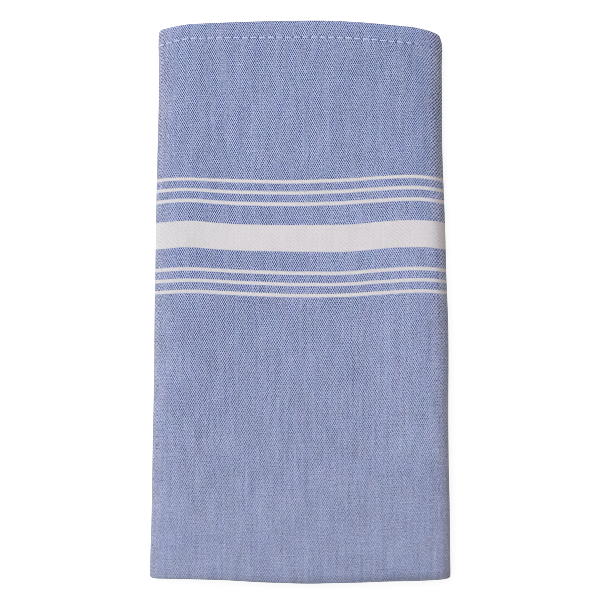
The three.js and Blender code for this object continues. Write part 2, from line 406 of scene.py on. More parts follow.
def skin_distances():
    """How far the outer and the inner skin lie from the middle of the doubled cloth, by station and row."""
    s, v = np.meshgrid(along, row_along, indexing="ij")
    angle = np.broadcast_to(row_angle, s.shape)
    from_edge = np.minimum(np.minimum(s, PATH_LENGTH - s), np.minimum(v, CLOTH_LENGTH - v))
    face_swell = 1 - ease((from_edge - HEM_WIDTH) / HEM_EASE)
    turned = 1 - ease((from_edge - HEM_FOLD + HEM_STEP) / (2 * HEM_STEP))
    floor_side = on_floor[:, None] * (1 + np.cos(angle)) / 2
    wander = sum(
        size * np.sin(math.tau * (s / across + v / down) + phase) for size, across, down, phase in WANDER
    )
    outer = LAYER_MIDDLE + CLOTH_THICKNESS / 2 + face_swell * (HEM_THICKNESS - CLOTH_THICKNESS) / 2
    outer = mix(outer + wander, PANEL_THICKNESS / 2, floor_side)
    inner = outer - mix(CLOTH_THICKNESS, HEM_THICKNESS, turned)
    rounding = np.clip(np.minimum(s, PATH_LENGTH - s) / EDGE_ROUNDING, 0, 1)
    middle, half = (outer + inner) / 2, (outer - inner) / 2 * np.sqrt(1 - (1 - rounding) ** 2)
    return middle + half, middle - half


def place(distance, angle, from_tip):
    """Places points by distance from the doubled cloth's middle, by angle and by distance from the hem."""
    behind = (1 - np.cos(angle)) / 2
    fold_y = lift[:, None] + FOLD_CENTRE_Y
    tip_y = HALF_LENGTH - drop[:, None] - HEMS_BEHIND_LOWER * behind
    y = mix(tip_y, fold_y, from_tip / STRAIGHT_LENGTH) - distance * np.sin(angle)
    offset = distance * np.cos(angle)
    x = path_x[:, None] + offset * out_x[:, None]
    z = path_z[:, None] + offset * out_z[:, None]
    return settle(x.ravel(), y.ravel(), z.ravel()).reshape(*x.shape, 3)


outer_distance, inner_distance = skin_distances()
outer_skin = place(outer_distance, row_angle, row_from_tip)
inner_skin = place(inner_distance, row_angle, row_from_tip)
print("The front face stands", round(float(outer_skin[..., 2].max()), 2), "mm high at most")

# %% [markdown]
# ## One closed sheet
# The two skins are joined by a rounded tip along each hem and by a narrow strip at each side hem. The grid
# is known, so its faces are worked out from the numbers of their corners. Every point also keeps where it
# lies in the flat cloth: that is the cloth's UV map, and the weave follows it through every fold.

# %% Join the skins into a mesh
# Rows round a tip, as shares of half a turn
TIP_ANGLES = (0.3, 0.5, 0.7)


def hem_tip(column):
    """Rows round the tip of the hem in a column of the skins, from the outer to the inner one."""
    outer, inner = outer_distance[:, column, None], inner_distance[:, column, None]
    turns = np.array(TIP_ANGLES) * math.pi
    distance = (outer + inner) / 2 + (outer - inner) / 2 * np.cos(turns)
    from_tip = row_from_tip[column] * (1 - np.sin(turns))
    return place(distance, row_angle[column], from_tip), from_tip


front_tip, front_tip_from = hem_tip(0)
behind_tip, behind_tip_from = hem_tip(-1)
ring = np.concatenate([outer_skin, behind_tip, inner_skin[:, ::-1], front_tip[:, ::-1]], axis=1)
ring_along = np.concatenate([
    row_along,
    CLOTH_LENGTH - behind_tip_from,
    row_along[::-1],
    front_tip_from[::-1],
])


def sheet_faces(station_count, ring_size, row_count):
    """Corner numbers of every face: the skins along the path, and the strips that close the side hems."""
    here = np.arange(station_count - 1)[:, None] * ring_size + np.arange(ring_size)
    beside = np.arange(station_count - 1)[:, None] * ring_size + (np.arange(ring_size) + 1) % ring_size
    skins = np.stack([here, here + ring_size, beside + ring_size, beside], axis=-1).reshape(-1, 4)
    tip = len(TIP_ANGLES)
    out = np.arange(row_count - 1)
    back = 2 * row_count + tip - 1 - out
    start = np.stack([out, out + 1, back - 1, back], axis=-1)
    end = start[:, ::-1] + (station_count - 1) * ring_size
    far_tip = [*range(row_count - 1, row_count + tip + 1)]
    near_tip = [*range(2 * row_count + tip - 1, ring_size), 0]
    last = (station_count - 1) * ring_size
    caps = [far_tip, near_tip, [c + last for c in far_tip[::-1]], [c + last for c in near_tip[::-1]]]
    return [*skins.tolist(), *start.tolist(), *end.tolist(), *caps]


def make_mesh(name, points, faces):
    mesh = bpy.data.meshes.new(name)
    mesh.from_pydata([tuple(p) for p in points], [], faces)
    mesh.validate()
    mesh.update()
    return put_in_scene(name, mesh)


faces = sheet_faces(len(along), ring.shape[1], len(row_along))
cloth = make_mesh("cloth", ring.reshape(-1, 3) * MM, faces)
cloth.data.shade_smooth()
print("The cloth has", sum(len(f) - 2 for f in faces), "triangles")

# %% [markdown]
# ## Where each point lies in the flat cloth
# The UV map runs over the flat cloth, once across and once along. The stripes were woven straight, but
# washing has bowed them, so a short table bends that map a little. A second map follows the sewing: its
# first number counts the stitches along the nearest line of sewing, and its second is the distance from
# that line. The material uses it for the needle holes and the puckers, and the stitches are counted the
# same way.

# %% Write the UV maps
# How far the weft has bowed up, by the distance to the right of the middle, in four rows of the cloth
WEFT_BOW = {
    "to_the_right": (-62, -50, -38, -28, -8, 6, 24, 36, 60),
    "upper_thin_stripes": (0.7, 0, -0.3, -0.3, 0, 0.5, 0.8, 1.2, 1.4),
    "above_the_broad_one": (0.5, 0.3, -0.4, -0.7, -0.1, 0.2, 0.3, 0.4, 0.7),
    "broad_stripe": (0.3, 0.6, -0.3, -0.6, 0, 0.3, -0.3, 0.1, 0.4),
    "lower_thin_stripes": (0, 0, -0.2, -0.4, -0.3, -0.1, -0.3, -0.3, 0.2),
}
BOWED_ROWS = {
    "upper_thin_stripes": 73,
    "above_the_broad_one": 84,
    "broad_stripe": 99,
    "lower_thin_stripes": 120,
}

STITCH_PITCH = 3.9
seam_row = int(np.argmin(np.abs(row_along - HEM_WIDTH)))
seam_rows = (seam_row, int(np.argmin(np.abs(row_along - CLOTH_LENGTH + HEM_WIDTH))))
seam_stations = tuple(int(np.argmin(np.abs(along - at))) for at in (HEM_WIDTH, PATH_LENGTH - HEM_WIDTH))
seam_lines = [outer_skin[seam_stations[0]:seam_stations[1] + 1, row] for row in seam_rows]
seam_lines += [outer_skin[station, seam_rows[0]:seam_rows[1] + 1] for station in seam_stations]


def length_along(line):
    steps = np.linalg.norm(np.diff(line, axis=0), axis=1)
    return np.concatenate([[0], np.cumsum(steps)])


STITCH_COUNT = round(length_along(seam_lines[0])[-1] / STITCH_PITCH)


def stitch_numbers(line, whole, first):
    """Stitches counted along a line of sewing, for every station or row of the whole cloth."""
    counted = length_along(line) / length_along(line)[-1] * STITCH_COUNT
    return np.interp(np.arange(whole), first + np.arange(len(line)), counted)


def seam_map(s, v):
    """For every point: stitches along the nearest line of sewing, and the distance from it."""
    across = [stitch_numbers(line, len(along), seam_stations[0]) for line in seam_lines[:2]]
    down = [stitch_numbers(line, len(row_along), seam_rows[0]) for line in seam_lines[2:]]
    numbers_down = [np.interp(v, row_along, numbers) for numbers in down]
    numbers_across = [np.interp(s, along, numbers) for numbers in across]
    away = np.stack([
        np.abs(v - HEM_WIDTH),
        np.abs(CLOTH_LENGTH - HEM_WIDTH - v),
        np.abs(s - HEM_WIDTH),
        np.abs(PATH_LENGTH - HEM_WIDTH - s),
    ])
    numbers = np.stack([*numbers_across, *numbers_down])
    nearest = np.argmin(away, axis=0)
    rows, columns = np.indices(nearest.shape)
    return numbers[nearest, rows, columns], away[nearest, rows, columns]


FRONT_STARTS = run_length(RUNS[0]) + run_length(RUNS[1])
FRONT_MIDDLE = FRONT_STARTS + RIGHT_BEND_X


def weft_bow(s, v):
    """How far the weft has bowed away from a straight line, for every point of the flat cloth."""
    to_the_right = (FRONT_MIDDLE - s).ravel()
    rows = [smooth_through(WEFT_BOW["to_the_right"], WEFT_BOW[row], to_the_right) for row in BOWED_ROWS]
    return smooth_through([*BOWED_ROWS.values()], rows, v.ravel()).reshape(s.shape)


def write_uv(piece, name, first, second):
    layer = piece.data.uv_layers.new(name=name)
    corners = np.empty(len(piece.data.loops), dtype=np.int32)
    piece.data.loops.foreach_get("vertex_index", corners)
    pairs = np.stack([first.ravel()[corners], second.ravel()[corners]], axis=-1)
    layer.uv.foreach_set("vector", pairs.ravel().astype(np.float32))


s_grid, v_grid = np.meshgrid(along, ring_along, indexing="ij")
write_uv(cloth, "flat cloth", s_grid / PATH_LENGTH, (v_grid + weft_bow(s_grid, v_grid)) / CLOTH_LENGTH)
write_uv(cloth, "sewing", *seam_map(s_grid, v_grid))
print(STITCH_COUNT, "stitches along each hem")

# %% [markdown]
# ## Colours, nodes and materials
# Colours are written as they look on a screen, and one function turns them to the linear values that
# Blender wants. One more function adds a node to any tree, with its settings and with what goes into it,
# and gives back what comes out of it. A third makes a material: each finish below only says what goes into
# its surface.

# %% Define the helpers for colours, nodes and materials


def linear(hex_code):
    """A screen colour such as "8d97bb" as a linear colour with an alpha of 1."""
    channels = [int(hex_code[i:i + 2], 16) / 255 for i in (0, 2, 4)]
    return (*(c / 12.92 if c <= 0.04045 else ((c + 0.055) / 1.055) ** 2.4 for c in channels), 1)


def add(tree, kind, *inputs, also=None, out=0, **settings):
    """Adds a node with settings. Inputs are values or outputs, in order, or in also by name or number."""
    node = tree.nodes.new(kind)
    for name, value in settings.items():
        setattr(node, name, value)
    for key, value in [*enumerate(inputs), *(also or {}).items()]:
        if isinstance(value, bpy.types.NodeSocket):
            tree.links.new(value, node.inputs[key])
        elif value is not None:
            node.inputs[key].default_value = value
    return node.outputs[out] if node.outputs else node


def new_material(name, finish):
    """A material of one surface. The finish is a function that gives what goes into that surface."""
    material = bpy.data.materials.new(name)
    material.use_nodes = True
    tree = material.node_tree
    tree.nodes.clear()
    surface = add(tree, "ShaderNodeBsdfPrincipled", also=finish(tree))
    add(tree, "ShaderNodeOutputMaterial", surface)
    return material


print("Mid grey as a linear colour is", round(linear("808080")[0], 3))

# %% [markdown]
# ## Cotton, woven from white warp and blue weft
# The ground is a broken twill of cotton. White warp threads show as small dots between the blue weft
# threads, and the dots line up along two slants. Cotton is matt and a little hairy, so it has a rough
# surface and a soft sheen. A picture of cloth could be laid over it, but a weave is a regular thing. So it
# is worked out from waves on the flat cloth's own map: two that cross, one for each slant, a weak one for
# the gaps between the rows of dots, and one for the twill of the white stripes. The real threads are about
# half as coarse as these dots, and that would be too fine to show.

# %% Name the threads and the dyes
WARP_PITCH = 0.508
WEFT_PITCH = 0.4325

# How far each wave goes across and down before it repeats
FIRST_SLANT = (2 * WARP_PITCH, 4 * WEFT_PITCH)
SECOND_SLANT = (-2 * WARP_PITCH, 4 * WEFT_PITCH)
DOT_ROWS = (math.inf, 2 * WEFT_PITCH)
WHITE_TWILL = (4 * WARP_PITCH, 4 * WEFT_PITCH)

# The broad stripe's distance from the hem and its width, and how far the thin ones lie from its middle
BROAD_STRIPE = (99.0, 12.2)
THIN_STRIPE_WIDTH = 1.55
THIN_STRIPE_OFFSETS = (15.6, 20.65, 25.65)
STRIPE_SOFTNESS = 0.3

BLUE_WEFT = "1d366b"
# The faded weft, which also serves as painted sheen beside the folds
FADED_AND_SHEEN_WEFT = "444a70"
WHITE_WARP = "c8d1f3"
WHITE_WEFT = "d2ced1"
WHITE_SHADE = "c1bdc0"
HOLE_SHADE_BLUE = "2a3a78"

# How much of the white warp shows before the slants and the unevenness change it
WHITE_SHOWS = 0.383

# How much darker the twill, the yarns and the dots make a white stripe
TWILL_SHADE = 0.6
YARN_SHADE = 3.0
DOT_SHADE = 1.5

# The dye's patches: how often they come in each millimetre, their tint at the least, and what they add to it
DYE_PATCHES = (0.14, 0.09, 1)
DYE_LEAST = (0.93, 0.985, 0.93)
DYE_GAIN = (0.145, 0.03, 0.145)

# Noise seldom leaves this range
NOISE_RANGE = (0.3, 0.7)
NOISE_ROUGHNESS = 0.6

# Unevenness: how often it comes in each millimetre, across and down, by how much, and in how much detail
THREADS_ACROSS = ((0.035, 0.035, 0.4, 2), (0.5, 0.02, 0.05, 2))
THREADS_DOWN = ((0.04, 0.03, 0.12, 2), (0.02, 0.5, 0.08, 2))
YARNS = ((0.9, 0.03, 0.05, 2), (0.05, 0.9, 0.03, 2), (0.2, 0.06, 0.05, 3))
DOTS = ((1.3, 1.45, 0.14, 0),)
TWILL_CLEARNESS = ((0.1, 0.14, 0.8, 2),)
print("The weave repeats every", round(FIRST_SLANT[0], 2), "mm across and", FIRST_SLANT[1], "mm down")

# %% [markdown]
# ## Wear, painted sheen, and painted light and shade
# A washed napkin isn't the same all over. Towards the folded end it has faded and its dots show less. Its
# folds are rubbed flat, and there painted sheen pales them too. Painted light makes the cloth lighter beside
# the left fold, and painted shade darkens the wrap, the hem's very edge and the rim of the folded end. Each
# of these is a short table, from a place to what happens there.

# %% Write down the wear, the painted sheen, and the painted light and shade
# By the distance from the hem: how clear the first slant is, the second, and the gaps between rows of dots
SLANTS = (
    (0, 0.315, 0.23, 0.045),
    (90, 0.31, 0.25, 0.045),
    (150, 0.268, 0.255, 0.04),
    (190, 0.19, 0.205, 0.022),
    (235, 0.08, 0.095, 0.008),
)

# The same on the wrap
SLANTS_ON_WRAP = (
    (0, 0.19, 0.33, 0.04),
    (110, 0.2, 0.25, 0.035),
    (150, 0.19, 0.18, 0.025),
    (235, 0.05, 0.055, 0.007),
)

# By the distance from the wrap: where the front's table takes over, and how much of the second slant shows
FRONT_TAKES_OVER = (-0.5, 1.5)
SECOND_GROWS = ((-0.5, 1), (1.5, 0.5), (16, 0.5), (52, 1))

# By the distance from the hem: how faded the weft is, how much rubbing and painted sheen the wrap gets,
# and how uneven the dots
WEAR = ((0, 0, 0.3, 1), (110, 0.2, 0.8, 1), (190, 0.7, 1.3, 0.85), (254, 1, 1.2, 0.6))

# By the distance past the panel's left end, and for the second table from the wrap: how far the weave is
# rubbed flat, with painted sheen that dims the dots and pales the weft
FOLD_RUB_AND_SHEEN = ((-10, 0), (-3, 0.8), (2.5, 1), (8, 0))
WRAP_RUB_AND_SHEEN = ((-14, 0), (-6.5, 0.7), (-1, 0.35), (6, 0))
# How much of the dots the rubbing and the painted sheen take away
LOST_BY_RUB_AND_SHEEN = 0.6

# By the same distances, and by the one from the hem: painted light and shade on the cloth, as a tint in red,
# green and blue
# Painted light: beside the left fold the cloth is painted lighter and less blue, as if it faced the light
PAINTED_LIGHT_BY_FOLD = ((-3, 1, 1, 1), (0.5, 1.06, 1.035, 0.965), (2.5, 1.19, 1.09, 0.9), (8, 1, 1, 1))
# Painted shade: the wrap is painted darker and greyer, as the shade on its side away from the light
PAINTED_SHADE_ON_WRAP = (
    (-14, 1, 1, 1),
    (-7, 0.93, 0.835, 0.64),
    (-4, 0.94, 0.865, 0.75),
    (-2.8, 1.03, 0.945, 0.87),
    (-1, 1.04, 1, 0.985),
    (2, 1, 1, 1),
)
# Painted shade: the white stripes are painted a little darker towards the left fold, to hold back the light
# that it catches
WHITE_PAINTED_SHADE_BY_FOLD = ((-34, 1, 1, 1), (-10, 0.95, 0.96, 0.96), (0, 0.93, 0.94, 0.95), (8, 1, 1, 1))
# Painted shade: the white stripes are painted darker where they turn round the wrap
WHITE_PAINTED_SHADE_ON_WRAP = (
    (-14, 1, 1, 1),
    (-7, 0.66, 0.6, 0.58),
    (-3.2, 0.83, 0.77, 0.75),
    (-1.2, 0.95, 0.95, 0.97),
    (3, 1, 1, 1),
)
# Painted shade: the hem's very edge, and the rim where the folded end rolls down, are painted darker
PAINTED_SHADE_HEM_TO_FOLD = (
    (0, 0.86, 0.86, 0.86),
    (1.1, 1, 1, 1),
    (252, 1, 1, 1),
    (254.8, 1, 0.99, 0.94),
    (256.5, 1.02, 0.98, 0.83),
)
print("The cloth fades from", WEAR[0][1], "at the hem to", WEAR[-1][1], "at the crosswise fold")

# %% [markdown]
# ## Broad patches of painted light and shade
# Soft patches where a little more of the white warp shows, or a little less, are painted light and shade:
# they stand in for gentle slopes of the face that catch more light or less. Noise could make such patches,
# but not in these places. So a few soft ones are given one by one, and every point of the cloth keeps how
# much lighter it is painted, below zero darker, as an attribute that the material reads.

# %% Mark the broad patches of painted light and shade
# Place, half width, half length, and how much more of the white shows: above zero painted light, below zero
# painted shade
PAINTED_LIGHT_PATCHES = (
    (45, -18, 13, 62, 0.055),
    (28, 32, 26, 22, 0.06),
    (58, 95, 10, 38, -0.04),
    (-61, 80, 6, 14, -0.045),
    (-34, 119, 34, 8, 0.03),
    (-40, 60, 8, 34, -0.03),
    (14, 94, 12, 16, -0.025),
    (-27, -4, 16, 14, -0.035),
    (-40, -50, 8, 14, -0.025),
    (-6, -88, 6, 16, 0.03),
    (-34, -118, 14, 10, 0.03),
    (45, -127, 24, 4, -0.06),
    (60, 110, 5, 10, 0.07),
)


def keep_on_points(mesh, name, kind, values):
    """Keeps a number or a direction on every point of a mesh."""
    field = "vector" if kind == "FLOAT_VECTOR" else "value"
    attribute = mesh.attributes.new(name, kind, "POINT")
    attribute.data.foreach_set(field, np.ravel(values).astype(np.float32))


keep_on_points(cloth.data, "patch_painted_light", "FLOAT", soft_bumps(PAINTED_LIGHT_PATCHES, ring[..., 0], ring[..., 1]))
print(len(PAINTED_LIGHT_PATCHES), "broad patches are marked")

# %% [markdown]
# ## Tables in a material
# A colour ramp is a handy table: it turns a distance into up to three numbers, and blends between the rows.
# One helper makes all of them: for the stripes, for the strength of the slants, for the fading and for the
# folds.

# %% Turn short tables into colour ramps


def look_up(tree, place, rows):
    """The values of a table at a place: one value makes a grey, and two or three go to the channels."""
    low, high = rows[0][0], rows[-1][0]
    share = add(tree, "ShaderNodeMapRange", place, low, high, 0.0, 1.0)
    ramp = add(tree, "ShaderNodeValToRGB", share)
    stops = ramp.node.color_ramp.elements
    stops.remove(stops[1])
    stops[0].position = 0
    for k, (at, *values) in enumerate(rows):
        stop = stops[0] if k == 0 else stops.new((at - low) / (high - low))
        stop.color = (*values, *values[:1] * (3 - len(values)), 1)
    return ramp


def stripe_rows():
    """For the stripes: 0 in the ground, 1 in a white stripe, with a soft step at every edge."""
    middle, width = BROAD_STRIPE
    stripes = [(middle, width)]
    for offset in THIN_STRIPE_OFFSETS:
        stripes += [(middle - offset, THIN_STRIPE_WIDTH), (middle + offset, THIN_STRIPE_WIDTH)]
    rows = []
    soft = STRIPE_SOFTNESS / 2
    for place, size in sorted(stripes):
        start, end = place - size / 2, place + size / 2
        rows += [(start - soft, 0), (start + soft, 1), (end - soft, 1), (end + soft, 0)]
    return rows


print(len(stripe_rows()) // 4, "white stripes on each half of the cloth")

# %% [markdown]
# ## Where each thread lies
# The weave follows the place in the flat cloth. No thread runs quite straight there: they drift slowly
# together, and each one also stands a little off its own place. One helper makes every such unevenness from
# noise.

# %% Find each thread


def wave(tree, thread, slant):
    """A wave over the threads that repeats at the slant's two sizes."""
    turns = (math.tau / slant[0], math.tau / slant[1], 0)
    angle = add(tree, "ShaderNodeVectorMath", thread, turns, operation="DOT_PRODUCT", out=1)
    return add(tree, "ShaderNodeMath", angle, operation="COSINE")


def made_uneven(tree, value, place, rows):
    """A value that drifts up and down with the place, once for each row of unevenness."""
    for often_across, often_down, most, detail in rows:
        often = (often_across, often_down, 1)
        stretched = add(tree, "ShaderNodeVectorMath", place, often, operation="MULTIPLY")
        noise = add(tree, "ShaderNodeTexNoise", stretched, None, 1.0, detail, NOISE_ROUGHNESS)
        drift = add(tree, "ShaderNodeMapRange", noise, *NOISE_RANGE, -most, most, clamp=False)
        value = add(tree, "ShaderNodeMath", value, drift, operation="ADD")
    return value


def flat_place(tree):
    """Where a point lies in the flat cloth, in millimetres."""
    flat = add(tree, "ShaderNodeUVMap", uv_map="flat cloth")
    return add(tree, "ShaderNodeVectorMath", flat, (PATH_LENGTH, CLOTH_LENGTH, 1), operation="MULTIPLY")


def drifting_threads(tree, place):
    """The same place, counted by threads that drift together and each stand a little off."""
    across = made_uneven(tree, 0.0, place, THREADS_ACROSS)
    down = made_uneven(tree, 0.0, place, THREADS_DOWN)
    drift = add(tree, "ShaderNodeCombineXYZ", across, down)
    return add(tree, "ShaderNodeVectorMath", drift, place, operation="ADD")


def distance_from_hem(tree, down):
    """The distance from the nearer of the two crosswise hems."""
    past_fold = add(tree, "ShaderNodeMath", down, CLOTH_LENGTH / 2, operation="SUBTRACT")
    past_fold = add(tree, "ShaderNodeMath", past_fold, operation="ABSOLUTE")
    return add(tree, "ShaderNodeMath", CLOTH_LENGTH / 2, past_fold, operation="SUBTRACT")


print("A thread drifts by about", THREADS_ACROSS[0][2], "mm")

# %% [markdown]
# ## Rubbing, painted sheen, painted light and shade, and sewing
# A rubbed fold shows weaker dots and paler weft, partly from wear and partly as painted sheen. Painted light
# and shade is a colour to multiply with. The needle leaves a hole at either end of each stitch, painted dark
# as the shade inside it, and the thread pulls the cloth in all along the sewing, most at the holes.

# %% Rub the cloth, paint its sheen, light and shade, and prick it
# A hole's reach in millimetres, and how low the wave along the stitches is where it starts
HOLE_REACH = (0.2, 0.9)
HOLE_STARTS = -0.75
# How dark the painted shade in a needle hole gets
HOLE_SHADE_DARKNESS = 0.85

# The pull of the thread in the bump, how much it changes along a stitch, and its reach in millimetres
PULL_IN = -0.8
PULL_CHANGE = 0.5
PUCKER_REACH = 3.5


def rubbed_and_sheened_folds(tree, past_left, from_wrap, wrap_share):
    """How far rubbing and painted sheen reach: fully at the fold on the left, and by a share at the wrap."""
    left, wrap = look_up(tree, past_left, FOLD_RUB_AND_SHEEN), look_up(tree, from_wrap, WRAP_RUB_AND_SHEEN)
    wrap = add(tree, "ShaderNodeMath", wrap, wrap_share, operation="MULTIPLY")
    return add(tree, "ShaderNodeMath", left, wrap, operation="MAXIMUM")


def with_painted_light_and_shade(tree, colour, *tints):
    """The colour with its painted light and shade. Each is a place and the table for it."""
    for place, rows in tints:
        colour = add(tree, "ShaderNodeVectorMath", colour, look_up(tree, place, rows), operation="MULTIPLY")
    return colour


def needle_marks(tree):
    """The painted shade in the needle holes, and how the sewing pulls the cloth in."""
    sewing = add(tree, "ShaderNodeUVMap", uv_map="sewing")
    count = add(tree, "ShaderNodeSeparateXYZ", sewing)
    away = count.node.outputs[1]
    turns = add(tree, "ShaderNodeMath", count, math.tau, operation="MULTIPLY")
    between = add(tree, "ShaderNodeMath", turns, operation="COSINE")
    hole_shade_along = add(tree, "ShaderNodeMapRange", between, HOLE_STARTS, -1.0, 0.0, HOLE_SHADE_DARKNESS)
    hole_shade_across = add(tree, "ShaderNodeMapRange", away, *HOLE_REACH, 1.0, 0.0)
    hole_shade = add(tree, "ShaderNodeMath", hole_shade_along, hole_shade_across, operation="MULTIPLY")
    near = add(tree, "ShaderNodeMapRange", away, 0.0, PUCKER_REACH, 1.0, 0.0)
    pucker = add(tree, "ShaderNodeMath", between, PULL_CHANGE, PULL_IN, operation="MULTIPLY_ADD")
    pull = add(tree, "ShaderNodeMath", pucker, near, operation="MULTIPLY")
    return hole_shade, pull


print("The thread pulls the cloth in up to", PUCKER_REACH, "mm away from the sewing")

# %% [markdown]
# ## Dots, dye and white yarn
# The slants are as clear as their tables say. On the wrap the second one is the clearer of the two, and on
# the front it grows with the distance from the wrap. The more of the warp they show, the nearer the blue
# ground comes to white, and the dye took a little differently from patch to patch. The white stripes have
# white weft too, so only their own twill, yarns and dots shade them.

# %% Mix the colours of the weave
# How a Mix node is told to blend colours
COLOURS = {"data_type": "RGBA", "out": 2}


def slanting_dots(tree, thread, from_wrap, from_hem):
    """Both slants together, as clear as they are at this distance from the hem and from the wrap."""
    on_front = add(tree, "ShaderNodeMapRange", from_wrap, *FRONT_TAKES_OVER, 0.0, 1.0)
    tables = {0: on_front, 6: look_up(tree, from_hem, SLANTS_ON_WRAP), 7: look_up(tree, from_hem, SLANTS)}
    clear = add(tree, "ShaderNodeSeparateColor", add(tree, "ShaderNodeMix", also=tables, **COLOURS))
    grown = look_up(tree, from_wrap, SECOND_GROWS)
    second = add(tree, "ShaderNodeMath", clear.node.outputs[1], grown, operation="MULTIPLY")
    waves = [wave(tree, thread, slant) for slant in (FIRST_SLANT, SECOND_SLANT, DOT_ROWS)]
    weave = add(tree, "ShaderNodeMath", waves[0], clear, operation="MULTIPLY")
    weave = add(tree, "ShaderNodeMath", waves[1], second, weave, operation="MULTIPLY_ADD")
    gaps = add(tree, "ShaderNodeMath", waves[2], clear.node.outputs[2], operation="MULTIPLY")
    return add(tree, "ShaderNodeMath", weave, gaps, operation="SUBTRACT")


def white_that_shows(tree, weave, yarn, dots, unevenness):
    """How much of the white warp shows in the ground, from 0 to 1, with painted light and shade in patches.
    """
    show = add(tree, "ShaderNodeMath", dots, unevenness, WHITE_SHOWS, operation="MULTIPLY_ADD")
    # The broad patches of painted light and shade
    patches = add(tree, "ShaderNodeAttribute", attribute_name="patch_painted_light", out=2)
    for part in (yarn, patches, weave):
        show = add(tree, "ShaderNodeMath", show, part, operation="ADD")
    return add(tree, "ShaderNodeClamp", show)


def blue_ground(tree, place, show, fade_and_sheen):
    """The colour of the ground: blue weft with the warp that shows, in a patchy dye."""
    blue = add(tree, "ShaderNodeMix", also={0: fade_and_sheen, 6: linear(BLUE_WEFT), 7: linear(FADED_AND_SHEEN_WEFT)}, **COLOURS)
    ground = add(tree, "ShaderNodeMix", also={0: show, 6: blue, 7: linear(WHITE_WARP)}, **COLOURS)
    patches = add(tree, "ShaderNodeVectorMath", place, DYE_PATCHES, operation="MULTIPLY")
    patches = add(tree, "ShaderNodeTexNoise", patches, None, 1.0, 1.0, out=1)
    dye = add(tree, "ShaderNodeVectorMath", patches, DYE_GAIN, DYE_LEAST, operation="MULTIPLY_ADD")
    return add(tree, "ShaderNodeVectorMath", ground, dye, operation="MULTIPLY")


def white_stripe(tree, twill, yarn, dots):
    """The colour of the white stripes, whose own twill, yarns and dots shade it a little."""
    shade = add(tree, "ShaderNodeMapRange", twill, -1.0, 1.0, 0.0, TWILL_SHADE)
    shade = add(tree, "ShaderNodeMath", yarn, YARN_SHADE, shade, operation="MULTIPLY_ADD")
    shade = add(tree, "ShaderNodeMath", dots, DOT_SHADE, shade, operation="MULTIPLY_ADD")
    whites = {0: shade, 6: linear(WHITE_WEFT), 7: linear(WHITE_SHADE)}
    return add(tree, "ShaderNodeMix", also=whites, **COLOURS)


print("The blue weft is", [round(c, 3) for c in linear(BLUE_WEFT)[:3]], "in linear red, green and blue")

# %% [markdown]
# ## The whole material
# Yarn is never even, so some threads are lighter or darker along their whole length, and no two dots are
# alike. The stripes' edges follow the dots, as a change of weft does. The same waves also raise the cloth a
# little in the bump: a real dot stands up by less than a tenth of a millimetre, too little for the mesh.

# %% Weave the cotton
# The height of the bump in millimetres, and the share of it that the dots and the twill take
RELIEF = 0.12
DOT_RELIEF = 0.35
TWILL_RELIEF = 0.1

# How far a full wave of dots would move a stripe's edge, in millimetres
EDGE_WANDER = 0.4


def raised(tree, weave, twill, in_stripe, pull):
    """The bump of the cloth: the dots, the twill of the white stripes, and the pull of the sewing."""
    ground = add(tree, "ShaderNodeMath", 1.0, in_stripe, operation="SUBTRACT")
    relief = add(tree, "ShaderNodeMath", weave, ground, operation="MULTIPLY")
    relief = add(tree, "ShaderNodeMath", relief, DOT_RELIEF, pull, operation="MULTIPLY_ADD")
    relief = add(tree, "ShaderNodeMath", twill, TWILL_RELIEF, relief, operation="MULTIPLY_ADD")
    return add(tree, "ShaderNodeBump", also={"Strength": 1.0, "Distance": RELIEF * MM, "Height": relief})


